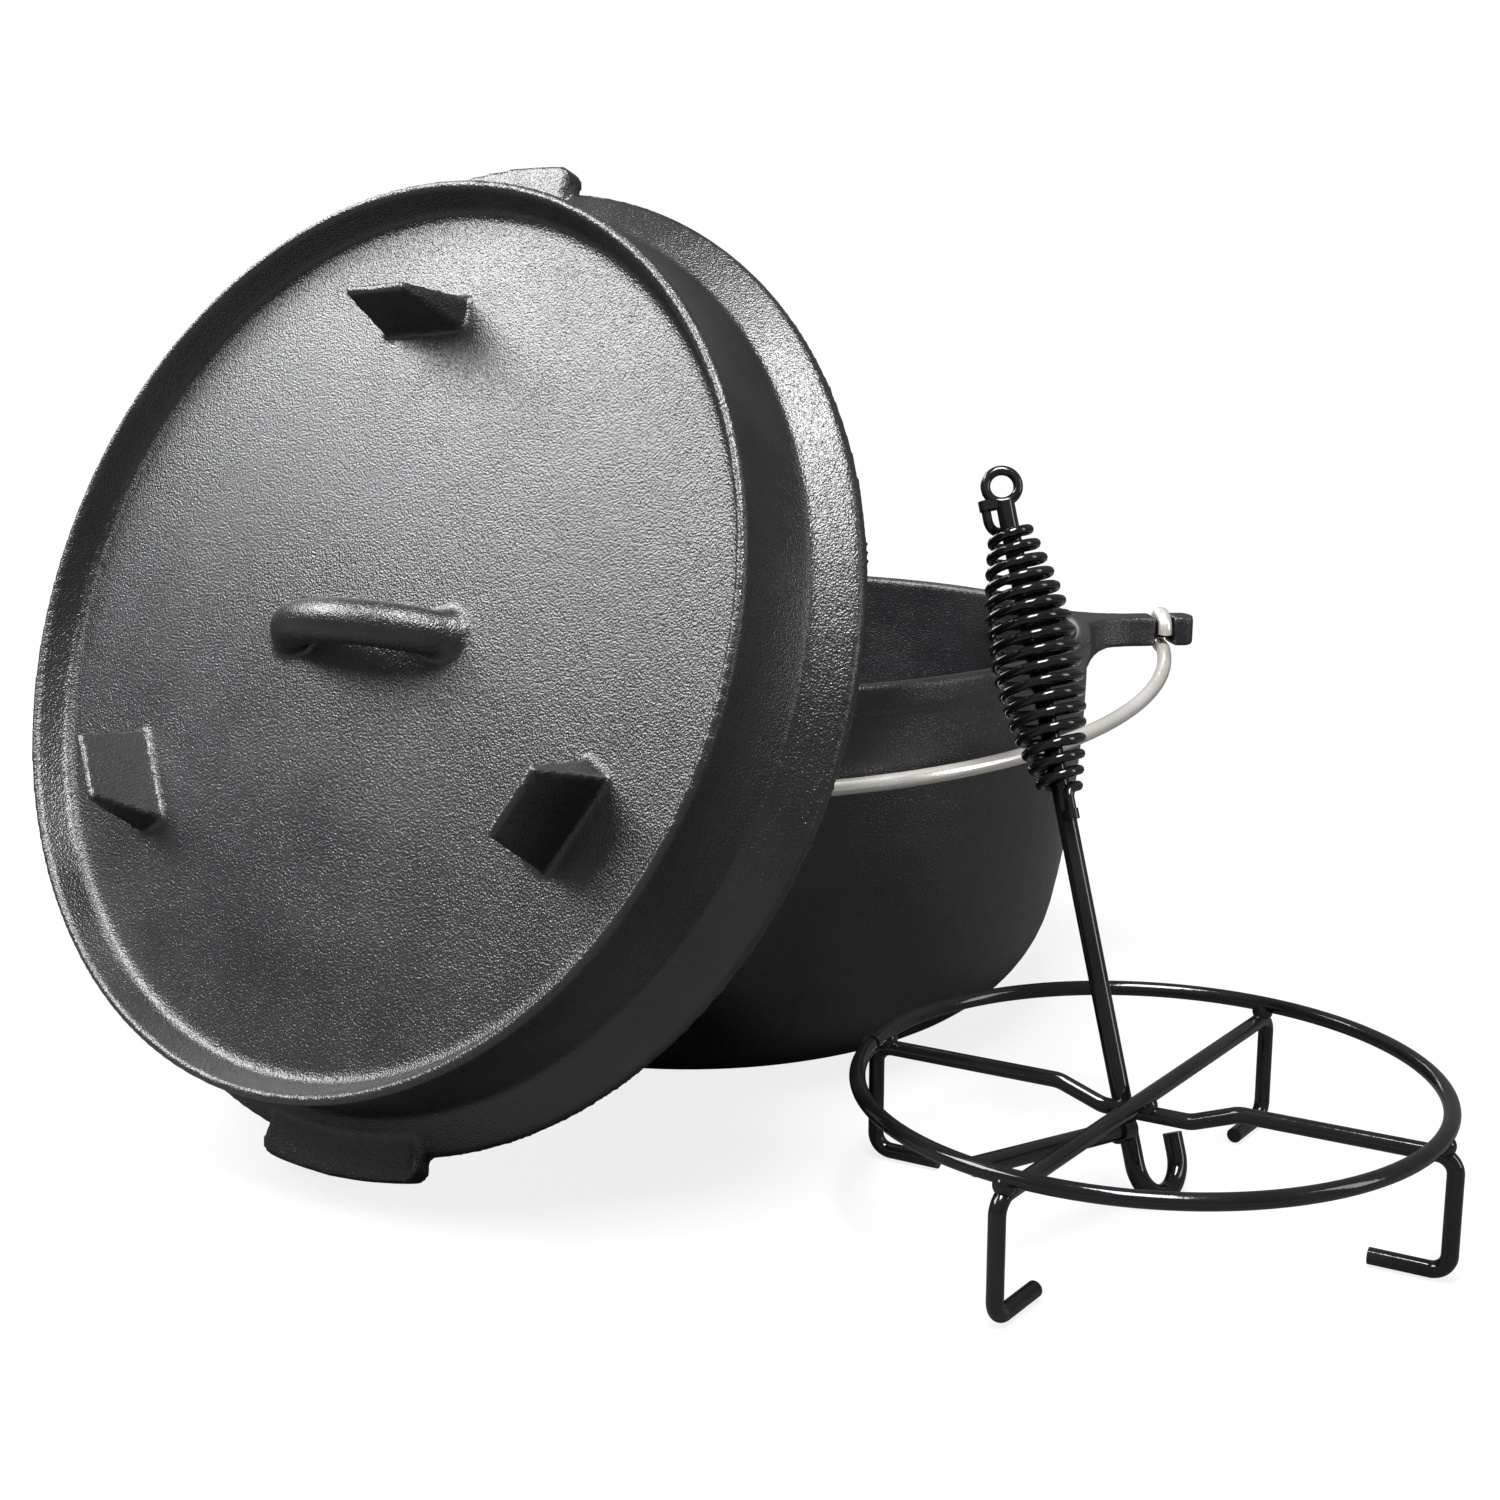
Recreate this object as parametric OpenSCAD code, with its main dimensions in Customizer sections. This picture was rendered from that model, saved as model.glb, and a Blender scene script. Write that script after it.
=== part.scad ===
// Camp dutch oven set: cast pot with its bail, cast lid, lid lifter and wire trivet.
// Millimetres, +Z up. The origin is on the floor under the pot's axis, and the ears lie along X.

/* [Pot] */
// Outer radius of the rim band
rim_r = 170; // [150:1:190]
// Height of the pot
pot_h = 165; // [140:1:190]
// Height of the rim band
band_h = 11; // [8:1:16]
// How far the band stands out from the wall
band_proud = 1.2; // [0.6:0.1:3]
// Thickness of the wall
wall_t = 5; // [4:0.5:8]
// Thickness of the bottom
bottom_t = 6; // [4:0.5:9]
// Outer radius of the bottom corner
corner_r = 62; // [45:1:75]
// Angle of the wall where it meets the bottom corner, degrees
wall_lean = 13; // [8:0.5:16]
// Rounding of the rim's edges
rim_round = 2; // [1:0.25:2.25]

/* [Ears] */
// How far an ear reaches past the rim
ear_reach = 51; // [44:1:60]
// Ear axis below the top of the rim
ear_drop = 7.5; // [7:0.5:10]
// Thickness of the ear
web_t = 13; // [10:0.5:13]
// Radius of the two hollows that narrow the ear
web_hollow = 30; // [20:1:34]
// Radius of the hollow under the ear
under_hollow = 16; // [10:1:20]
// Width of the ear's head
head_w = 15; // [13:0.5:20]
// Length of the ear's head
head_l = 9.5; // [7:0.5:14]
// Rounding of the head's corners
head_round = 4; // [2:0.5:6]
// Diameter of the neck that carries the bail
neck_d = 7; // [6:0.5:9]

/* [Bail] */
// Diameter of the bail's wire
bail_d = 6; // [4:0.5:7]
// Clearance of the bail's hook round the neck
hook_clear = 0.5; // [0.4:0.1:1.2]
// Play of the bail's hook along the neck, each side
hook_play = 1; // [0.5:0.1:2]
// Clearance of the bail over the rim
bail_over = 0.9; // [0.8:0.1:4]
// Inward turn of the bail's ends, degrees
end_turn = 13; // [11:1:15]
// Bend radius of that turn
end_bend = 20; // [12:1:30]
// Turn of the hook round the neck, degrees
hook_wrap = 270; // [220:5:275]
// Gap between the hanging bail and the wall
bail_gap = 0.3; // [0.2:0.1:1]

/* [Lid] */
// How far the flange stands out past the pot's rim
flange_over = 7.7; // [3:0.1:10]
// Thickness of the flange's edge
flange_t = 5; // [4:0.5:7]
// Width of the flange's bevel
bevel_w = 13.5; // [9:0.5:15]
// Height of the flange's bevel
bevel_h = 9.5; // [7:0.5:14]
// Height of the coal rim over the flange's edge
coal_rim_h = 46; // [38:1:54]
// Outer radius of the coal rim, less than the flange by
coal_rim_in = 14.7; // [12:0.1:18]
// Width of the coal rim's top
coal_rim_w = 4; // [3:0.5:6]
// Slope of the coal rim's inner wall, sideways
coal_slope = 5; // [2:0.5:8]
// Depth of the coal tray
tray_d = 12; // [8:0.5:16]
// Thickness of the lid's plate
plate_t = 5; // [4:0.5:8]
// Rise of the plate's crown at the middle
plate_crown = 2; // [0:0.5:4]
// Depth of the rib that locates the lid in the pot's mouth
rib_h = 8; // [5:0.5:12]
// Thickness of the rib
rib_w = 6; // [4:0.5:8]
// Clearance of the rib in the mouth
rib_clear = 2.5; // [1:0.1:4]
// Reach of the two lugs past the flange
lug_reach = 8.5; // [5:0.5:12]
// Thickness of a lug
lug_t = 9.5; // [7:0.5:13]
// Step of a lug's underside above the flange's
lug_step = 0.5; // [0.3:0.1:1.5]
// Half angle of a lug, degrees
lug_half = 11.5; // [8:0.5:16]
// Rounding of a lug's corners
lug_round = 5; // [2:0.5:8]
// Turn of the upper lug off the line of the lower one, degrees
lug_skew = 3; // [0:0.5:5]

/* [Lid legs and handle] */
// Radius of the circle of legs
leg_circle = 116; // [100:1:125]
// Height of a leg
leg_h = 29; // [20:1:36]
// Length of a leg at its root
leg_root_l = 38; // [30:1:44]
// Thickness of a leg at its root
leg_root_t = 12.5; // [9:0.5:16]
// Length of a leg at its tip
leg_tip_l = 26; // [20:1:30]
// Thickness of a leg at its tip
leg_tip_t = 3; // [2:0.5:6]
// Distance between the handle's roots
handle_span = 73; // [66:1:90]
// Rise of the handle's bow over the plate, to the middle of its thickness
handle_rise = 20; // [18:0.5:26]
// Thickness of the handle
handle_d = 16; // [12:0.5:18]
// Widening of the handle's roots
handle_flare = 4; // [2:0.5:8]

/* [Lid leaning on the pot] */
// Lean of the lid back from upright, degrees
lid_lean = 21.8; // [15:0.1:28]
// Direction that the lid's face looks, degrees
lid_face = -131.7; // [-140:0.1:-120]
// Sideways shift of the lid from where it nears the rim
lid_shift = 17; // [0:1:30]
// Gap between the lid's underside and the rim
lid_gap = 5; // [4:0.5:8]
// Turn of the lid about its own axis, degrees
lid_spin = 4.4; // [-8:0.1:8]

/* [Trivet] */
// Diameter of the trivet's wire
wire_d = 5.5; // [4.5:0.5:6]
// Radius of the ring, to the middle of its wire
ring_r = 96.5; // [88:0.5:105]
// Height of the ring, to the middle of its wire
ring_z = 47.4; // [40:0.2:60]
// Bend radius of the bars, to the middle of the wire
wire_bend = 6; // [5:0.5:8]
// How far the legs stand outside the ring, to the middle of the wire
leg_out = 4; // [3:0.5:6]
// Straight length of a foot
toe_l = 19; // [10:1:25]
// Direction of the straight bar, degrees
bar_turn = 48; // [44:1:52]
// Angle at which the two bars cross, degrees
bar_cross = 84; // [80:1:90]
// Half length of the low stretch of the jogged bar
jog_half = 17; // [15:0.5:24]
// Slope of the jog, degrees
jog_slope = 20; // [16:1:30]
// Bend radius of the jog
jog_bend = 10; // [6:0.5:12]
// Gap that each weld fills
weld_gap = 0.3; // [0.2:0.1:0.6]
// Radius of a weld nugget
weld_r = 3.7; // [3.4:0.1:4]
// Gap between the trivet's legs and the pot's rim, in plan
stand_gap = 16; // [10:1:60]
// Direction of the trivet from the pot, degrees
stand_turn = -63.2; // [-68:0.1:-56]

/* [Lid lifter] */
// Diameter of the rod and its arm
rod_d = 6.7; // [5:0.1:7]
// Length of the rod from the hook's bend to its top
rod_l = 233; // [215:1:260]
// Lean of the rod from upright, degrees
rod_lean = 22.4; // [16:0.1:26]
// Direction in which the rod leans, degrees
rod_turn = 110.8; // [104:0.1:118]
// Turn of the hook about the rod, degrees
hook_turn = -72; // [-80:1:-64]
// Bend radius of the hook, to the middle of the rod
hook_r = 12; // [9:0.5:13]
// Straight length of the hook's tip
hook_tip = 7; // [3:0.5:12]
// Length of the arm
arm_l = 80; // [60:1:84]
// Gap between the rod or arm and the bar it passes
rod_gap = 0.5; // [0.3:0.1:2]
// Place along the jogged bar where the rod passes
rod_along = 11; // [9:0.5:16]
// Outer diameter of the hanging eye
eye_od = 15; // [13:0.5:20]
// Turn of the eye about the rod, degrees
eye_turn = 43; // [0:1:90]

/* [Spring grip] */
// Diameter of the spring's wire
coil_d = 3.5; // [2.5:0.1:4]
// Outer diameter of the coils at the ends
coil_end_od = 15.2; // [14.8:0.1:18]
// Outer diameter of the coils at the middle
coil_mid_od = 32; // [24:0.5:36]
// Number of coils
coils = 17.5; // [12:0.5:20]
// Height of the lowest coil above the hook's bend
coil_low = 129; // [120:1:140]
// Bend radius of the coil's ends
coil_bend = 4; // [3:0.5:5]
// Turn of the spring about the rod, degrees
coil_turn = -90; // [-180:5:180]

/* [Hidden] */
$fn = 72;
arc_steps = 8;
// Each bend is this much thicker than its wire and laps over it this far
bend_swell = 0.04;
bend_lap = 0.1;
iron = [0.12, 0.12, 0.125];
bright_wire = [0.78, 0.77, 0.74];
black_wire = [0.04, 0.04, 0.045];

// Pot
wall_r = rim_r - band_proud;
mouth_r = wall_r - wall_t;
band_z = pot_h - band_h;
ear_z = pot_h - ear_drop;
neck_end_x = rim_r + ear_reach - head_l;
web_end_x = neck_end_x - bail_d - 2 * hook_play;
hook_x = (neck_end_x + web_end_x) / 2;

// Bail: each end hooks under its neck and round it, then turns inward into one wide arc
loop_r = neck_d / 2 + hook_clear + bail_d / 2;
bail_reach = rim_r + bail_d / 2 + bail_over;
bail_arc_r = (hook_x - end_bend * (1 - cos(end_turn))) / cos(end_turn);
bail_join = 1;
bail_lead = bail_reach - end_bend * sin(end_turn) - bail_join * cos(end_turn) - bail_arc_r * (1 - sin(end_turn));
bail_span = norm([bail_reach, loop_r]);
wall_foot_z = corner_r * (1 - sin(wall_lean));
wall_arc_r = (band_z - wall_foot_z) / sin(wall_lean);
bail_start = acos((wall_r + bail_d / 2 + bail_gap) / bail_span) - atan(loop_r / bail_reach);
bail_low = band_z - ear_z + bail_reach * sin(bail_start) + loop_r;
wall_there = wall_r - wall_arc_r + sqrt(pow(wall_arc_r, 2) - pow(bail_low, 2));
bail_droop = acos((wall_there + bail_d / 2 + bail_gap) / bail_span) - atan(loop_r / bail_reach);

// Lid, in its own frame: z = 0 is the upper corner of the flange's edge
flange_r = rim_r + flange_over;
coal_r = flange_r - coal_rim_in;
plate_z = coal_rim_h - tray_d;
plate_r = coal_r - coal_rim_w - coal_slope;
rib_r = mouth_r - rib_clear;
lug_r = flange_r + lug_reach;

// Lid, leaning: its lower lug stands on the floor and its underside is near the pot's rim
lid_axis = [cos(lid_lean) * cos(lid_face), cos(lid_lean) * sin(lid_face), sin(lid_lean)];
lid_side = [-sin(lid_face), cos(lid_face), 0];
lid_up = [-sin(lid_lean) * cos(lid_face), -sin(lid_lean) * sin(lid_face), cos(lid_lean)];
lid_near = [rim_r * cos(lid_face), rim_r * sin(lid_face), pot_h];
lid_z = lug_r * cos(lid_lean) + (flange_t - lug_step) * sin(lid_lean);
lid_off = flange_t + lid_gap;
lid_rise = (lid_z - pot_h - lid_off * sin(lid_lean)) / cos(lid_lean);
lid_pos = lid_near + lid_off * lid_axis + lid_shift * lid_side + lid_rise * lid_up;

// Trivet
bar_z = ring_z - wire_d - weld_gap;
jog_z = bar_z - wire_d - weld_gap;
foot_z = (wire_d + bend_swell) / 2;
bar_end_r = ring_r + leg_out;
bar_half = bar_end_r - wire_bend;
jog_turn = bar_turn - bar_cross;
stand_r = rim_r + stand_gap + bar_end_r + wire_d / 2;
stand_pos = stand_r * [cos(stand_turn), sin(stand_turn), 0];
jog_fall = bar_z - jog_z;
jog_run = (jog_fall - 2 * jog_bend * (1 - cos(jog_slope))) / sin(jog_slope);
jog_flat = 2 * (jog_half - jog_bend * sin(jog_slope));
jog_out = jog_half + jog_run * cos(jog_slope) + jog_bend * sin(jog_slope);

// Lifter: the rod passes close behind the low stretch of the jogged bar and stands on its hook
rod_axis = [sin(rod_lean) * cos(rod_turn), sin(rod_lean) * sin(rod_turn), cos(rod_lean)];
hook_dip = -cos(hook_turn) * sin(rod_lean);
hook_depth = sqrt(pow(cos(rod_lean), 2) + pow(hook_dip, 2));
rod_base_z = (rod_d + bend_swell) / 2 + hook_r * (hook_depth - hook_dip);
rod_beside = wire_d / 2 + rod_d / 2 / cos(rod_lean) + rod_gap;
rod_pass = stand_pos - rod_along * [cos(jog_turn), sin(jog_turn), 0]
  + rod_beside * [-sin(jog_turn), cos(jog_turn), 0];
rod_back = (jog_z - rod_base_z) * tan(rod_lean);
rod_base = [
  rod_pass[0] - rod_back * cos(rod_turn),
  rod_pass[1] - rod_back * sin(rod_turn),
  rod_base_z
];
arm_under = 2 * rod_beside;
arm_z = jog_z - wire_d / 2 - rod_gap - rod_d / 2 / cos(rod_lean) + hook_dip * arm_under;
arm_s = (arm_z - rod_base_z) / cos(rod_lean);
eye_ring_r = (eye_od - coil_d) / 2;
eye_s = rod_l + eye_ring_r;

// Spring: end radius, middle radius, and the ends' straight run of one wire diameter
coil_end_r = (coil_end_od - coil_d) / 2;
coil_mid_r = (coil_mid_od - coil_d) / 2;
coil_tail = coil_bend + coil_d;
coil_z0 = coil_low;
coil_z1 = rod_l - coil_tail - coil_d / 2;
coil_rings = 8;
coil_sides = 6;
bend_rings = 3;
coil_lug_w = coil_d + 1;
coil_lug_h = coil_d;

// Points of an arc about a centre, from one angle to another
function arc(c, r, a, b, n = arc_steps) = [
  for (i = [0:n]) c + r * [cos(a + (b - a) * i / n), sin(a + (b - a) * i / n)]
];

// Half section of a bowl from its top edge down to its axis: leaning wall, round corner, flat bottom
function bowl(top_r, top_z, low_z, r, lean) =
  let (
    foot_z = low_z + r * (1 - sin(lean)),
    fall = top_z - foot_z,
    foot_r = top_r - fall * tan(lean / 2),
    curve_r = fall / sin(lean)
  )
  concat(
    arc([top_r - curve_r, top_z], curve_r, 0, -lean),
    arc([foot_r - r * cos(lean), low_z + r], r, -lean, -90, 12),
    [[0, low_z]]
  );

// A bend in the XZ plane: it starts at the origin along +Z and turns towards +X, or -X if negative
module bend(d, turn, r) {
  rotate([0, 0, turn < 0 ? 180 : 0])
    translate([r, 0, 0])
      rotate([90, 0, 0])
        rotate([0, 0, 180 - abs(turn)])
          rotate_extrude(angle = abs(turn))
            translate([r, 0])
              circle(d = d + bend_swell);
}

// A wire in the XZ plane from steps of straight length, turn and bend radius
module bent_wire(d, steps, i = 0) {
  run = steps[i][0];
  turn = steps[i][1];
  r = steps[i][2];
  lap_low = i > 0 ? bend_lap : 0;
  lap_high = turn != 0 ? bend_lap : 0;
  if (run > 0)
    translate([0, 0, -lap_low])
      cylinder(d = d, h = run + lap_low + lap_high);
  if (turn != 0)
    translate([0, 0, run])
      bend(d, turn, r);
  if (i < len(steps) - 1)
    translate([sign(turn) * r * (1 - cos(turn)), 0, run + r * sin(abs(turn))])
      rotate([0, turn, 0])
        bent_wire(d, steps, i + 1);
}

// One ear along +X: a web hollowed at both sides and below, the neck, and a head with rounded corners
module ear() {
  web_low = ear_z - web_t / 2;
  root_half = head_w / 2 + web_hollow;
  side_x = sqrt(pow(rim_r + web_hollow - rim_round, 2) - pow(root_half, 2));
  under_x = wall_r - wall_t / 2 + under_hollow;
  intersection() {
    translate([0, 0, web_low - under_hollow])
      linear_extrude(web_t + under_hollow)
        difference() {
          translate([mouth_r, -web_hollow])
            square([web_end_x - mouth_r, 2 * web_hollow]);
          for (side = [-1, 1]) {
            translate([side_x, side * root_half])
              circle(r = web_hollow);
            translate([side_x, side * root_half - web_hollow])
              square([web_end_x, 2 * web_hollow]);
          }
        }
    translate([0, root_half, 0])
      rotate([90, 0, 0])
        linear_extrude(2 * root_half)
          difference() {
            translate([mouth_r, web_low - under_hollow])
              square([web_end_x - mouth_r, web_t + under_hollow]);
            translate([under_x, web_low - under_hollow])
              circle(r = under_hollow);
            translate([under_x, web_low - 2 * under_hollow])
              square([web_end_x, 2 * under_hollow]);
          }
  }
  translate([0, 0, web_low])
    linear_extrude(web_t) {
      translate([neck_end_x, -head_w / 2])
        square([head_l - head_round, head_w]);
      translate([neck_end_x, -head_w / 2 + head_round])
        square([head_l, head_w - 2 * head_round]);
      for (side = [-1, 1])
        translate([neck_end_x + head_l - head_round, side * (head_w / 2 - head_round)])
          circle(r = head_round);
    }
  translate([web_end_x - web_t, 0, ear_z])
    rotate([0, 90, 0])
      cylinder(d = neck_d, h = neck_end_x + head_l / 2 - web_end_x + web_t);
}

// The pot's outer form, filled
module pot_outside() {
  rotate_extrude()
    polygon(concat(
      bowl(wall_r, band_z, 0, corner_r, wall_lean),
      [[0, pot_h]],
      arc([rim_r - rim_round, pot_h - rim_round], rim_round, 90, 0),
      [[rim_r, band_z + band_proud]]
    ));
}

module pot() {
  inner_corner = corner_r - bottom_t;
  color(iron)
    difference() {
      pot_outside();
      rotate_extrude()
        polygon(concat(
          bowl(mouth_r, band_z, bottom_t, inner_corner, wall_lean),
          [[0, pot_h + 1], [mouth_r + rim_round, pot_h + 1]],
          arc([mouth_r + rim_round, pot_h - rim_round], rim_round, 90, 180)
        ));
    }
}

module pot_ear_right() {
  color(iron)
    difference() {
      ear();
      pot_outside($fn = 216);
    }
}

module pot_ear_left() {
  color(iron)
    difference() {
      rotate([0, 0, 180])
        ear();
      pot_outside($fn = 216);
    }
}

// The bail's own frame: z away from the ear axis, y down, x along the ear axis
module bail() {
  color(bright_wire)
    translate([0, 0, ear_z])
      rotate([90 + bail_droop, 0, 0])
        rotate([0, 0, 180]) {
          translate([-hook_x, loop_r, -bend_lap])
            bent_wire(bail_d, [
              [bail_lead + bend_lap, end_turn, end_bend],
              [bail_join, 180 - 2 * end_turn, bail_arc_r],
              [bail_join, end_turn, end_bend],
              [bail_lead + bend_lap, 0, 0]
            ]);
          for (side = [-1, 1])
            translate([side * hook_x, 0, 0])
              rotate([0, 90, 0])
                rotate([0, 0, 90 - hook_wrap])
                  rotate_extrude(angle = hook_wrap)
                    translate([loop_r, 0])
                      circle(d = bail_d + bend_swell);
        }
}

// The lid's casting without legs and handle, turned about its axis
module lid_shell() {
  round_r = coal_rim_w / 2;
  foot_r = flange_r - bevel_w;
  under_z = plate_z - plate_t;
  inner_r = rib_r - rib_w;
  hollow_r = plate_t * 2;
  wall_bow = 2;
  rotate_extrude()
    polygon(concat(
      [[0, under_z + plate_crown]],
      arc([inner_r - hollow_r, under_z - hollow_r], hollow_r, 90, 0),
      [[inner_r, -flange_t - rib_h], [rib_r - 1, -flange_t - rib_h], [rib_r, -flange_t - rib_h + 1]],
      [[rib_r, -flange_t], [flange_r, -flange_t], [flange_r, 0], [foot_r, bevel_h]],
      [for (i = [1:arc_steps - 1])
        let (t = i / arc_steps)
          [
            foot_r + (coal_r - foot_r) * t - wall_bow * sin(180 * t),
            bevel_h + (coal_rim_h - round_r - bevel_h) * t
          ]
      ],
      arc([coal_r - round_r, coal_rim_h - round_r], round_r, 0, 180),
      [[plate_r + 1, plate_z + 1], [plate_r - 2, plate_z], [0, plate_z + plate_crown]]
    ));
}

// One lug: a round-cornered tab of the flange that stands out over its edge
module lid_lug() {
  inner_r = flange_r - bevel_w / 2 - 3;
  round_off = asin(lug_round / (lug_r - lug_round));
  turn = lug_half - round_off;
  low = (lug_r - lug_round) * [cos(turn), -sin(turn)];
  high = (lug_r - lug_round) * [cos(turn), sin(turn)];
  translate([0, 0, lug_step - flange_t])
    linear_extrude(lug_t)
      polygon(concat(
        [inner_r * [cos(lug_half), -sin(lug_half)]],
        arc(low, lug_round, -lug_half - 90, -turn),
        [for (i = [1:arc_steps - 1])
          let (a = turn * (2 * i / arc_steps - 1))
            lug_r * [cos(a), sin(a)]
        ],
        arc(high, lug_round, turn, lug_half + 90),
        [inner_r * [cos(lug_half), sin(lug_half)]]
      ));
}

// One leg: a wedge whose length and thickness shrink to the tip
module leg_shape() {
  thin = 0.5;
  sink = plate_t / 2;
  translate([leg_circle, 0, plate_z])
    hull() {
      translate([-leg_root_t / 2, -leg_root_l / 2, -sink])
        cube([leg_root_t, leg_root_l, sink]);
      translate([-leg_tip_t / 2, -leg_tip_l / 2, leg_h - thin])
        cube([leg_tip_t, leg_tip_l, thin]);
    }
}

// The loop handle: one low bow from root to root, with flared roots
module handle_shape() {
  sink = plate_t / 2;
  bow_r = (pow(handle_span / 2, 2) + pow(handle_rise, 2)) / (2 * handle_rise);
  bow_half = acos((bow_r - handle_rise - sink - handle_d / 2) / (bow_r + handle_d / 2));
  difference() {
    union() {
      translate([0, 0, plate_z + handle_rise - bow_r])
        rotate([90, 0, 0])
          rotate([0, 0, 90 - bow_half])
            rotate_extrude(angle = 2 * bow_half)
              translate([bow_r, 0])
                circle(d = handle_d);
      for (side = [-1, 1])
        translate([side * handle_span / 2, 0, plate_z - sink])
          cylinder(d1 = handle_d + 2 * handle_flare, d2 = handle_d - 2, h = 3 * sink);
    }
    translate([-handle_span, -handle_d, plate_z - sink - 2 * handle_d])
      cube([2 * handle_span, 2 * handle_d, 2 * handle_d]);
  }
}

// The lid's own frame: z out of its face, y up the lean, origin at the middle of the flange
module on_lid() {
  translate(lid_pos)
    rotate([0, 0, lid_face + 90])
      rotate([90 - lid_lean, 0, 0])
        rotate([0, 0, lid_spin])
          children();
}

module lid() {
  color(iron)
    on_lid() {
      lid_shell();
      for (turn = [90 + lug_skew, 270])
        rotate([0, 0, turn])
          lid_lug();
    }
}

module lid_handle() {
  color(iron)
    on_lid()
      difference() {
        handle_shape();
        lid_shell();
      }
}

module seated_leg(turn) {
  color(iron)
    on_lid()
      difference() {
        rotate([0, 0, turn])
          leg_shape();
        lid_shell();
      }
}

module lid_leg_top() {
  seated_leg(90);
}

module lid_leg_left() {
  seated_leg(210);
}

module lid_leg_right() {
  seated_leg(330);
}

// The rod's own frame: z along the rod, x towards the hook, origin at the top of the hook's bend
module on_rod() {
  translate(rod_base)
    rotate([0, 0, rod_turn])
      rotate([0, rod_lean, 0])
        rotate([0, 0, hook_turn])
          children();
}

module rod_shape() {
  cylinder(d = rod_d, h = rod_l + coil_d);
  rotate([180, 0, 0])
    bent_wire(rod_d, [[0, 180, hook_r], [hook_tip, 0, 0]]);
}

module eye_shape() {
  translate([0, 0, eye_s])
    rotate([0, 0, eye_turn])
      rotate([0, 90, 0])
        rotate_extrude()
          translate([eye_ring_r, 0])
            circle(d = coil_d);
}

module arm_shape() {
  translate([0, 0, arm_s])
    rotate([0, -90, 0])
      cylinder(d = rod_d, h = arm_l);
}

module lifter_rod() {
  color(black_wire)
    on_rod()
      difference() {
        rod_shape();
        eye_shape();
        translate([0, 0, eye_s - eye_ring_r])
          cylinder(d = 2 * rod_d, h = eye_od);
      }
}

module lifter_arm() {
  color(black_wire)
    on_rod()
      difference() {
        arm_shape();
        rod_shape();
      }
}

module lifter_eye() {
  color(black_wire)
    on_rod()
      eye_shape();
}

// Centre line of the spring: a straight end, a bend, the barrel of coils, a bend and a straight end
function coil_r(t) = coil_end_r + (coil_mid_r - coil_end_r) * sin(180 * t);
coil_n = coils * coil_rings;
coil_path = concat(
  [for (i = [0:1]) [coil_end_r, -coil_bend, coil_z0 - coil_tail + i * coil_d]],
  [for (i = [bend_rings - 1:-1:1])
    let (b = 90 * i / bend_rings)
      [coil_end_r, -coil_bend * sin(b), coil_z0 - coil_bend * (1 - cos(b))]
  ],
  [for (i = [0:coil_n])
    let (t = i / coil_n, a = 360 * coils * t)
      [coil_r(t) * cos(a), coil_r(t) * sin(a), coil_z0 + (coil_z1 - coil_z0) * t]
  ],
  [for (i = [1:bend_rings])
    let (b = 90 * i / bend_rings, a = 360 * coils)
      [
        coil_end_r * cos(a) - coil_bend * sin(b) * sin(a),
        coil_end_r * sin(a) + coil_bend * sin(b) * cos(a),
        coil_z1 + coil_bend * (1 - cos(b))
      ]
  ],
  [let (a = 360 * coils)
    [
      coil_end_r * cos(a) - coil_bend * sin(a),
      coil_end_r * sin(a) + coil_bend * cos(a),
      coil_z1 + coil_tail
    ]
  ]
);

function unit(v) = v / norm(v);

// Rings of the tube round its centre line, each square to the line
function tube_rings(path, d, sides) = [
  for (i = [0:len(path) - 1])
    let (
      ahead = path[min(i + 1, len(path) - 1)],
      behind = path[max(i - 1, 0)],
      along = unit(ahead - behind),
      out = [path[i][0], path[i][1], 0],
      u = unit(out - (out * along) * along),
      v = cross(along, u)
    )
      for (k = [0:sides - 1])
        path[i] + d / 2 * (cos(360 * k / sides) * u + sin(360 * k / sides) * v)
];

function tube_faces(n, sides) = concat(
  [for (k = [1:sides - 2]) [0, k + 1, k]],
  [for (i = [0:n - 2], k = [0:sides - 1], half = [0, 1])
    let (
      a = i * sides + k,
      b = i * sides + (k + 1) % sides
    )
      half == 0 ? [a, b, a + sides] : [b, b + sides, a + sides]
  ],
  [for (k = [1:sides - 2]) (n - 1) * sides * [1, 1, 1] + [0, k, k + 1]]
);

// Least distance between stretches of the spring that are more than half a coil apart
coil_gap = min([
  for (i = [0:len(coil_path) - 1], j = [i + coil_rings / 2:len(coil_path) - 1])
    norm(coil_path[i] - coil_path[j])
]) - coil_d;
echo(least_gap_in_spring = coil_gap);

module lifter_spring() {
  color(black_wire)
    on_rod()
      rotate([0, 0, coil_turn])
        polyhedron(
          tube_rings(coil_path, coil_d, coil_sides),
          [for (f = tube_faces(len(coil_path), coil_sides)) [f[2], f[1], f[0]]]
        );
}

// A weld that carries one end of the spring: a round-ended block on the side of the rod
module coil_lug(at, z) {
  reach = norm([at[0], at[1]]);
  translate([0, 0, z])
    rotate([0, 0, atan2(at[1], at[0])])
      linear_extrude(coil_lug_h) {
        translate([0, -coil_lug_w / 2])
          square([reach, coil_lug_w]);
        translate([reach, 0])
          circle(d = coil_lug_w);
      }
}

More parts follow.
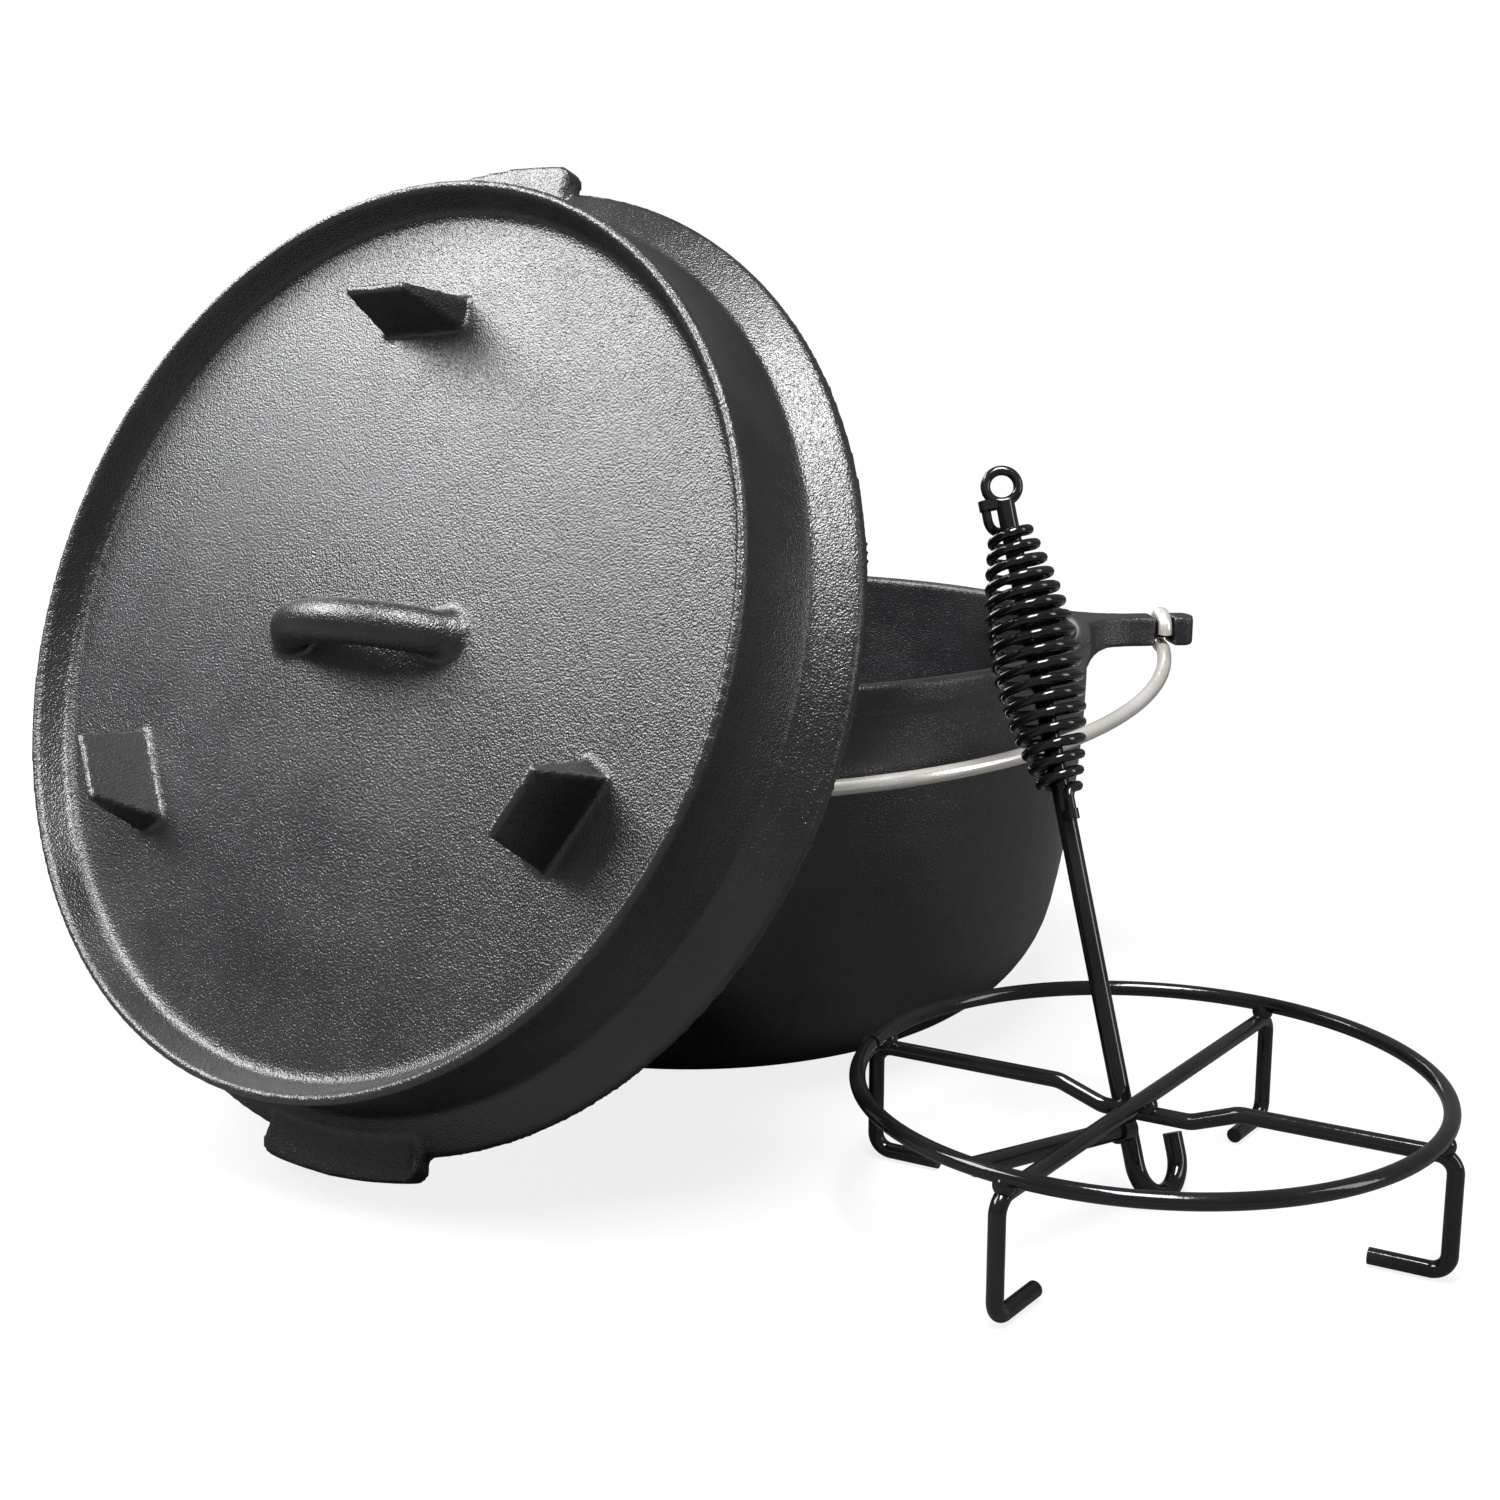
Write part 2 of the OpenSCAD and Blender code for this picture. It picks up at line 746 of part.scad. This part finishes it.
module lifter_welds() {
  bead_w = 3;
  bead_proud = 1.2;
  first = coil_path[0];
  last = coil_path[len(coil_path) - 1];
  color(black_wire)
    on_rod()
      difference() {
        union() {
          rotate([0, 0, coil_turn]) {
            coil_lug(first, first[2] - coil_lug_h);
            coil_lug(last, last[2]);
          }
          translate([0, 0, arm_s])
            rotate([0, -90, 0])
              cylinder(d = rod_d + 2 * bead_proud, h = rod_d / 2 + bead_w);
        }
        rod_shape();
        arm_shape();
        eye_shape();
      }
}

module ring_shape() {
  translate(stand_pos + [0, 0, ring_z])
    rotate_extrude($fn = 96)
      translate([ring_r, 0])
        circle(d = wire_d);
}

// A bar with two legs and feet, in the upright plane of its direction, from steps across the top
module bar_shape(turn, across) {
  leg_l = bar_z - foot_z - 2 * wire_bend;
  translate(stand_pos)
    rotate([0, 0, turn + 180])
      translate([toe_l - bar_half, 0, foot_z])
        rotate([0, -90, 0])
          bent_wire(wire_d, concat(
            [[toe_l, 90, wire_bend], [leg_l, 90, wire_bend]],
            across,
            [[leg_l, 90, wire_bend], [toe_l, 0, 0]]
          ));
}

module straight_bar_shape() {
  bar_shape(bar_turn, [[2 * bar_half, 90, wire_bend]]);
}

module jogged_bar_shape() {
  bar_shape(jog_turn, [
    [bar_half - jog_out, jog_slope, jog_bend],
    [jog_run, -jog_slope, jog_bend],
    [jog_flat, -jog_slope, jog_bend],
    [jog_run, jog_slope, jog_bend],
    [bar_half - jog_out, 90, wire_bend]
  ]);
}

module trivet_ring() {
  color(black_wire)
    ring_shape();
}

module trivet_bar_straight() {
  color(black_wire)
    straight_bar_shape();
}

module trivet_bar_jogged() {
  color(black_wire)
    jogged_bar_shape();
}

// Weld nuggets where the bars meet the ring and each other, and the ring's butt weld
module trivet_welds() {
  butt_turn = 152;
  butt_l = 3;
  butt_proud = 0.6;
  color(black_wire)
    difference() {
      union() {
        translate(stand_pos) {
          for (turn = [bar_turn, bar_turn + 180, jog_turn, jog_turn + 180])
            rotate([0, 0, turn])
              translate([ring_r, 0, (ring_z + bar_z) / 2])
                sphere(r = weld_r);
          translate([0, 0, (bar_z + jog_z) / 2])
            sphere(r = weld_r);
          rotate([0, 0, butt_turn])
            translate([ring_r, butt_l / 2, ring_z])
              rotate([90, 0, 0])
                cylinder(d = wire_d + 2 * butt_proud, h = butt_l);
        }
      }
      ring_shape();
      straight_bar_shape();
      jogged_bar_shape();
    }
}

pot();
pot_ear_right();
pot_ear_left();
bail();
lid();
lid_handle();
lid_leg_top();
lid_leg_left();
lid_leg_right();
lifter_rod();
lifter_arm();
lifter_spring();
lifter_eye();
lifter_welds();
trivet_ring();
trivet_bar_straight();
trivet_bar_jogged();
trivet_welds();
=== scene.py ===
import math

import bmesh
import bpy
from mathutils import Matrix, Vector


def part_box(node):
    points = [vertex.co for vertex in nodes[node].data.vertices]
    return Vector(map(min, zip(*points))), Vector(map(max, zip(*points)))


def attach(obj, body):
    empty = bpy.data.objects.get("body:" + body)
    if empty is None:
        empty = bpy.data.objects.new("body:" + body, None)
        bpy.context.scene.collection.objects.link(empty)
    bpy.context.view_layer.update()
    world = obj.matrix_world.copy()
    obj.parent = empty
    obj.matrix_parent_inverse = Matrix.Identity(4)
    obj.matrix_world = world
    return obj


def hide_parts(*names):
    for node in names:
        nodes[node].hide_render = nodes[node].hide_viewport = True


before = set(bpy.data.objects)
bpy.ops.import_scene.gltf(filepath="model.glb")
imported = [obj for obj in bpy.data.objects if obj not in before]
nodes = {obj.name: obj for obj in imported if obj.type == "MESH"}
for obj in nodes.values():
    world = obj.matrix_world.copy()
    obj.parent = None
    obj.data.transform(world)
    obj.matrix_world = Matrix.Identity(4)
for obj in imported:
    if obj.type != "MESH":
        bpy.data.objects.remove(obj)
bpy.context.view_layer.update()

# The view: a camera a little above the pot's rim, turned a few degrees off square to the ears.
# It stands about a metre from the pot's middle with a slightly long lens.
camera_place = (-0.0711, -0.9098, 0.3042)
camera_dip = 12.17
camera_turn = -6
lens_mm = 51.1
sensor_mm = 36.0

scene = bpy.context.scene
scene.view_settings.view_transform = "Standard"
camera_data = bpy.data.cameras.new("camera")
camera_data.sensor_width = sensor_mm
camera_data.lens = lens_mm
camera = bpy.data.objects.new("camera", camera_data)
camera.location = camera_place
camera.rotation_euler = (math.radians(90 - camera_dip), 0, math.radians(camera_turn))
scene.collection.objects.link(camera)
scene.camera = camera

# The table: a wide sheet of pale paper that shows as white to the camera.
# Near the set a share of its real shading is left, which is the soft shadow round the feet.
table_half = 6.0
table_drop = 0.0005
table_corners = [(-1, -1), (1, -1), (1, 1), (-1, 1)]
white_level = 1.04
paper_seen = 0.80
paper_bounced = 0.15
shadow_near = 0.35
shadow_far = 0.9
white_share_near = 0.80

table_mesh = bpy.data.meshes.new("table")
table_mesh.from_pydata([(table_half * x, table_half * y, 0) for x, y in table_corners], [], [(0, 1, 2, 3)])
table = bpy.data.objects.new("table", table_mesh)
table.location.z = -table_drop
scene.collection.objects.link(table)

table_white = bpy.data.materials.new("table_white")
table_white.use_nodes = True
tree = table_white.node_tree
tree.nodes.clear()
ray = tree.nodes.new("ShaderNodeLightPath")
pale = tree.nodes.new("ShaderNodeMapRange")
pale.inputs["To Min"].default_value = paper_bounced
pale.inputs["To Max"].default_value = paper_seen
paper = tree.nodes.new("ShaderNodeBsdfDiffuse")
glow = tree.nodes.new("ShaderNodeEmission")
glow.inputs["Strength"].default_value = white_level
spot = tree.nodes.new("ShaderNodeTexCoord")
away = tree.nodes.new("ShaderNodeVectorMath")
away.operation = "LENGTH"
fade = tree.nodes.new("ShaderNodeMapRange")
fade.inputs["From Min"].default_value = shadow_near
fade.inputs["From Max"].default_value = shadow_far
fade.inputs["To Min"].default_value = white_share_near
share = tree.nodes.new("ShaderNodeMath")
share.operation = "MULTIPLY"
blend = tree.nodes.new("ShaderNodeMixShader")
surface = tree.nodes.new("ShaderNodeOutputMaterial")
tree.links.new(ray.outputs["Is Camera Ray"], pale.inputs["Value"])
tree.links.new(pale.outputs[0], paper.inputs["Color"])
tree.links.new(spot.outputs["Object"], away.inputs[0])
tree.links.new(away.outputs["Value"], fade.inputs["Value"])
tree.links.new(fade.outputs[0], share.inputs[0])
tree.links.new(ray.outputs["Is Camera Ray"], share.inputs[1])
tree.links.new(share.outputs[0], blend.inputs[0])
tree.links.new(paper.outputs[0], blend.inputs[1])
tree.links.new(glow.outputs[0], blend.inputs[2])
tree.links.new(blend.outputs[0], surface.inputs[0])
table_mesh.materials.append(table_white)

# The surround and lamps: an even white room, with four soft lamps out of the camera's sight.
# The room is white to the camera, lights the set only faintly, and shows a little in its gloss.
room_light = 0.05
room_in_gloss = 0.15

world = bpy.data.worlds.new("surround")
scene.world = world
world.use_nodes = True
tree = world.node_tree
tree.nodes.clear()
dim = tree.nodes.new("ShaderNodeBackground")
dim.inputs["Color"].default_value = (1, 1, 1, 1)
dim.inputs["Strength"].default_value = room_light
white = tree.nodes.new("ShaderNodeBackground")
white.inputs["Color"].default_value = (1, 1, 1, 1)
white.inputs["Strength"].default_value = white_level
ray = tree.nodes.new("ShaderNodeLightPath")
mirrored = tree.nodes.new("ShaderNodeMath")
mirrored.operation = "MULTIPLY_ADD"
mirrored.inputs[1].default_value = room_in_gloss
blend = tree.nodes.new("ShaderNodeMixShader")
surface = tree.nodes.new("ShaderNodeOutputWorld")
tree.links.new(ray.outputs["Is Glossy Ray"], mirrored.inputs[0])
tree.links.new(ray.outputs["Is Camera Ray"], mirrored.inputs[2])
tree.links.new(mirrored.outputs[0], blend.inputs[0])
tree.links.new(dim.outputs[0], blend.inputs[1])
tree.links.new(white.outputs[0], blend.inputs[2])
tree.links.new(blend.outputs[0], surface.inputs[0])


def soft_lamp(name, place, aim, size, power):
    """A rectangular lamp, in metres and watts, turned towards the point it is aimed at."""
    lamp_data = bpy.data.lights.new(name, "AREA")
    lamp_data.shape = "RECTANGLE"
    lamp_data.size, lamp_data.size_y = size
    lamp_data.energy = power
    lamp = bpy.data.objects.new(name, lamp_data)
    lamp.location = place
    lamp.rotation_euler = (Vector(aim) - Vector(place)).to_track_quat("-Z", "Y").to_euler()
    lamp.visible_camera = False
    scene.collection.objects.link(lamp)


soft_lamp("lamp_overhead", place=(-0.03, -0.7, 1.55), aim=(0, -0.2, 0.25), size=(0.5, 0.9), power=38)
soft_lamp("lamp_left", place=(-1.2, 0.02, 1.22), aim=(-0.15, -0.15, 0.17), size=(1.2, 0.7), power=36)
soft_lamp("lamp_right", place=(1.5, -0.9, 0.8), aim=(0.1, -0.1, 0.1), size=(0.4, 1.2), power=7)
soft_lamp("lamp_back", place=(-0.7, 1.9, 0.9), aim=(0, 0, 0.15), size=(1.4, 0.9), power=16)

# The pot: one sand casting with a banded rim, a rounded bottom corner and an ear at each side.
# It is seasoned black iron, grained all over by the sand, with every edge softened in the mould.
same_point = 1e-6
mould_grid = 0.0013
softening_share = 0.5
softening_rounds = 2
faces_kept = 0.27


def cast_piece(name, cast_nodes):
    """One casting made from its nodes, joined and with its edges softened by the mould."""
    metal = bmesh.new()
    for node in cast_nodes:
        metal.from_mesh(nodes[node].data)
    bmesh.ops.remove_doubles(metal, verts=metal.verts, dist=same_point)
    mesh = bpy.data.meshes.new(name)
    metal.to_mesh(mesh)
    metal.free()
    piece = bpy.data.objects.new(name, mesh)
    scene.collection.objects.link(piece)
    mould = piece.modifiers.new("sand_mould", "REMESH")
    mould.mode = "VOXEL"
    mould.voxel_size = mould_grid
    soften = piece.modifiers.new("soft_edges", "SMOOTH")
    soften.factor = softening_share
    soften.iterations = softening_rounds
    thin = piece.modifiers.new("fewer_faces", "DECIMATE")
    thin.ratio = faces_kept
    made = bpy.data.meshes.new_from_object(piece.evaluated_get(bpy.context.evaluated_depsgraph_get()))
    piece.modifiers.clear()
    piece.data = made
    made.polygons.foreach_set("use_smooth", [True] * len(made.polygons))
    return piece


# Grain for any cast or coated surface: a height for the bump, and patches for tone and gloss.
# Pebbles lie in the fine grain, and both are a little deeper in some patches than in others.
fine_detail = 1
pebble_count_share = 0.8
pebble_height = -0.5
patches_per_metre = 30
patch_detail = 3
patch_low = 0.35
patch_high = 0.7
grain_shallow = 0.9
grain_deep = 1.1

grain = bpy.data.node_groups.new("sand_grain", "ShaderNodeTree")
grain.interface.new_socket("Vector", in_out="INPUT", socket_type="NodeSocketVector")
grain.interface.new_socket("Size", in_out="INPUT", socket_type="NodeSocketFloat")
grain.interface.new_socket("Height", in_out="OUTPUT", socket_type="NodeSocketFloat")
grain.interface.new_socket("Patch", in_out="OUTPUT", socket_type="NodeSocketFloat")
grain_in = grain.nodes.new("NodeGroupInput")
grain_out = grain.nodes.new("NodeGroupOutput")
fine = grain.nodes.new("ShaderNodeTexNoise")
fine.inputs["Detail"].default_value = fine_detail
pebbles = grain.nodes.new("ShaderNodeTexVoronoi")
patch = grain.nodes.new("ShaderNodeTexNoise")
patch.inputs["Scale"].default_value = patches_per_metre
patch.inputs["Detail"].default_value = patch_detail
pebble_scale = grain.nodes.new("ShaderNodeMath")
pebble_scale.operation = "MULTIPLY"
pebble_scale.inputs[1].default_value = pebble_count_share
pebbled = grain.nodes.new("ShaderNodeMath")
pebbled.operation = "MULTIPLY_ADD"
pebbled.inputs[1].default_value = pebble_height
uneven = grain.nodes.new("ShaderNodeMapRange")
uneven.inputs["From Min"].default_value = patch_low
uneven.inputs["From Max"].default_value = patch_high
uneven.inputs["To Min"].default_value = grain_shallow
uneven.inputs["To Max"].default_value = grain_deep
depth = grain.nodes.new("ShaderNodeMath")
depth.operation = "MULTIPLY"
for texture in (fine, pebbles, patch):
    grain.links.new(grain_in.outputs["Vector"], texture.inputs["Vector"])
grain.links.new(grain_in.outputs["Size"], fine.inputs["Scale"])
grain.links.new(grain_in.outputs["Size"], pebble_scale.inputs[0])
grain.links.new(pebble_scale.outputs[0], pebbles.inputs["Scale"])
grain.links.new(pebbles.outputs["Distance"], pebbled.inputs[0])
grain.links.new(fine.outputs["Fac"], pebbled.inputs[2])
grain.links.new(patch.outputs["Fac"], uneven.inputs["Value"])
grain.links.new(pebbled.outputs[0], depth.inputs[0])
grain.links.new(uneven.outputs[0], depth.inputs[1])
grain.links.new(depth.outputs[0], grain_out.inputs["Height"])
grain.links.new(patch.outputs["Fac"], grain_out.inputs["Patch"])

bump_strength = 0.8


def grained_metal(name, dark, light, roughness, grain_per_metre, bump_depth):
    """A metal or enamel whose tone and roughness drift in patches over a grained surface."""
    metal = bpy.data.materials.new(name)
    metal.use_nodes = True
    tree = metal.node_tree
    shader = tree.nodes["Principled BSDF"]
    place = tree.nodes.new("ShaderNodeTexCoord")
    sand = tree.nodes.new("ShaderNodeGroup")
    sand.node_tree = grain
    sand.inputs["Size"].default_value = grain_per_metre
    tone = tree.nodes.new("ShaderNodeValToRGB")
    for stop, position, colour in zip(tone.color_ramp.elements, (patch_low, patch_high), (dark, light)):
        stop.position = position
        stop.color = (*colour, 1)
    dull = tree.nodes.new("ShaderNodeMapRange")
    dull.inputs["From Min"].default_value = patch_low
    dull.inputs["From Max"].default_value = patch_high
    dull.inputs["To Min"].default_value, dull.inputs["To Max"].default_value = roughness
    bump = tree.nodes.new("ShaderNodeBump")
    bump.inputs["Strength"].default_value = bump_strength
    bump.inputs["Distance"].default_value = bump_depth
    tree.links.new(place.outputs["Object"], sand.inputs["Vector"])
    tree.links.new(sand.outputs["Patch"], tone.inputs[0])
    tree.links.new(tone.outputs[0], shader.inputs["Base Color"])
    tree.links.new(sand.outputs["Patch"], dull.inputs["Value"])
    tree.links.new(dull.outputs[0], shader.inputs["Roughness"])
    tree.links.new(sand.outputs["Height"], bump.inputs["Height"])
    tree.links.new(bump.outputs[0], shader.inputs["Normal"])
    return metal, shader


iron_dark = (0.007, 0.007, 0.008)
iron_light = (0.014, 0.014, 0.015)
iron_gloss = 0.9
cast_iron, shader = grained_metal(
    "seasoned_cast_iron", iron_dark, iron_light,
    roughness=(0.29, 0.31), grain_per_metre=1500, bump_depth=0.00029)
shader.inputs["Specular IOR Level"].default_value = iron_gloss

# Handling rubs the castings' edges to a paler grey, most where they stand out sharpest. This paler grey is
# partly real wear and partly a painted highlight along the edges.
edge_begins = 0.53
edge_sharpest = 0.62
worn_and_highlit_edge_grey = (0.05, 0.05, 0.052)
mix_factor, mix_from, mix_to, mix_result = 0, 6, 7, 2

tree = cast_iron.node_tree
edges = tree.nodes.new("ShaderNodeNewGeometry")
edge_wear_and_highlight_mask = tree.nodes.new("ShaderNodeMapRange")
edge_wear_and_highlight_mask.inputs["From Min"].default_value = edge_begins
edge_wear_and_highlight_mask.inputs["From Max"].default_value = edge_sharpest
# Lays the paler grey onto the sharp edges: part real wear, part painted highlight.
edge_wear_and_highlight_mix = tree.nodes.new("ShaderNodeMix")
edge_wear_and_highlight_mix.data_type = "RGBA"
edge_wear_and_highlight_mix.inputs[mix_to].default_value = (*worn_and_highlit_edge_grey, 1)
iron_tone = shader.inputs["Base Color"].links[0].from_socket
tree.links.new(edges.outputs["Pointiness"], edge_wear_and_highlight_mask.inputs["Value"])
tree.links.new(edge_wear_and_highlight_mask.outputs[0], edge_wear_and_highlight_mix.inputs[mix_factor])
tree.links.new(iron_tone, edge_wear_and_highlight_mix.inputs[mix_from])
tree.links.new(edge_wear_and_highlight_mix.outputs[mix_result], shader.inputs["Base Color"])

pot_nodes = ("pot", "pot_ear_right", "pot_ear_left")
pot = cast_piece("pot_casting", pot_nodes)
pot.data.materials.append(cast_iron)
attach(pot, "pot")
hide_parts(*pot_nodes)

# The bail: one length of steel wire, bright plated and bowed to clear the rim.
# Each end hooks round an ear's neck, so that it swings, and here it hangs down in front of the pot.
plate_dark = (0.82, 0.79, 0.71)
plate_light = (0.97, 0.95, 0.90)
plate_metal = 0.6
bright_wire, shader = grained_metal(
    "bright_plated_wire", plate_dark, plate_light,
    roughness=(0.20, 0.30), grain_per_metre=1800, bump_depth=0.00003)
shader.inputs["Metallic"].default_value = plate_metal


def coat(coated_nodes, coating):
    """Give nodes that keep their shape the coating of the real piece."""
    for node in coated_nodes:
        nodes[node].data.materials.clear()
        nodes[node].data.materials.append(coating)


coat(["bail"], bright_wire)

# The lid: a second sand casting in the same seasoned iron, with a bevelled flange, a raised coal rim,
# three legs and a loop handle, all cast in one.
# It leans back beside the pot, standing on the lower of its two flange lugs.
lid_nodes = ("lid", "lid_handle", "lid_leg_top", "lid_leg_left", "lid_leg_right")
lid = cast_piece("lid_casting", lid_nodes)
lid.data.materials.append(cast_iron)
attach(lid, "lid")
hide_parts(*lid_nodes)

# The lid lifter: a steel rod bent to a hook at its foot, with a short arm and a hanging eye welded on.
# All of it is coated in gloss black enamel after welding.
enamel_dark = (0.005, 0.005, 0.006)
enamel_light = (0.012, 0.012, 0.013)
enamel_gloss = 0.6
gloss_black, shader = grained_metal(
    "gloss_black_enamel", enamel_dark, enamel_light,
    roughness=(0.08, 0.15), grain_per_metre=500, bump_depth=0.00004)
shader.inputs["Specular IOR Level"].default_value = enamel_gloss
coat(["lifter_rod", "lifter_arm", "lifter_eye", "lifter_welds"], gloss_black)

# The spring grip: one steel wire wound into a barrel round the rod, to hold the hand off hot iron.
# Each end turns along the rod and is welded to it, under the same black enamel.
rod_lean = math.radians(22.4)
rod_turn = math.radians(110.8)
hook_turn = math.radians(-72)
rod_length = 0.233
eye_radius = 0.00575
grip_wire = 0.0035
grip_end_radius = 0.00585
grip_mid_radius = 0.01425
grip_coils = 17.5
grip_low = 0.129
grip_bend = 0.004
grip_turn = math.radians(-90)
grip_tail = grip_bend + grip_wire
grip_high = rod_length - grip_tail - grip_wire / 2
points_per_coil = 24
bend_points = 6
wire_roundness = 3

to_rod = Matrix.Rotation(rod_turn, 4, "Z") @ Matrix.Rotation(rod_lean, 4, "Y")
to_grip = to_rod @ Matrix.Rotation(hook_turn + grip_turn, 4, "Z")
eye_low, eye_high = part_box("lifter_eye")
eye_middle = (Vector(eye_low) + Vector(eye_high)) / 2
rod_foot = eye_middle - to_grip @ Vector((0, 0, rod_length + eye_radius))

grip_line = [Vector((grip_end_radius, -grip_bend, grip_low - grip_tail))]
for step in range(bend_points, 0, -1):
    angle = math.pi / 2 * step / bend_points
    drop = grip_bend * (1 - math.cos(angle))
    grip_line.append(Vector((grip_end_radius, -grip_bend * math.sin(angle), grip_low - drop)))
coil_points = int(grip_coils * points_per_coil)
for step in range(coil_points + 1):
    part = step / coil_points
    angle = 2 * math.pi * grip_coils * part
    radius = grip_end_radius + (grip_mid_radius - grip_end_radius) * math.sin(math.pi * part)
    height = grip_low + (grip_high - grip_low) * part
    grip_line.append(Vector((radius * math.cos(angle), radius * math.sin(angle), height)))
last_turn = Matrix.Rotation(2 * math.pi * grip_coils, 4, "Z")
for step in range(1, bend_points + 1):
    angle = math.pi / 2 * step / bend_points
    rise = grip_bend * (1 - math.cos(angle))
    grip_line.append(last_turn @ Vector((grip_end_radius, grip_bend * math.sin(angle), grip_high + rise)))
grip_line.append(last_turn @ Vector((grip_end_radius, grip_bend, grip_high + grip_tail)))

grip_curve = bpy.data.curves.new("spring_grip", "CURVE")
grip_curve.dimensions = "3D"
grip_curve.bevel_depth = grip_wire / 2
grip_curve.bevel_resolution = wire_roundness
grip_curve.use_fill_caps = True
strand = grip_curve.splines.new("POLY")
strand.points.add(len(grip_line) - 1)
for point, place in zip(strand.points, grip_line):
    point.co = (*(rod_foot + to_grip @ place), 1)
strand.use_smooth = True
grip = bpy.data.objects.new("spring_grip", grip_curve)
scene.collection.objects.link(grip)
grip_curve.materials.append(gloss_black)
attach(grip, "lifter")
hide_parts("lifter_spring")

# The trivet: a steel wire ring welded on two bent bars whose ends turn down to legs and again to feet.
# One bar is jogged to pass under the other; the welds are left as small beads under the black enamel.
coat(["trivet_ring", "trivet_bar_straight", "trivet_bar_jogged", "trivet_welds"], gloss_black)
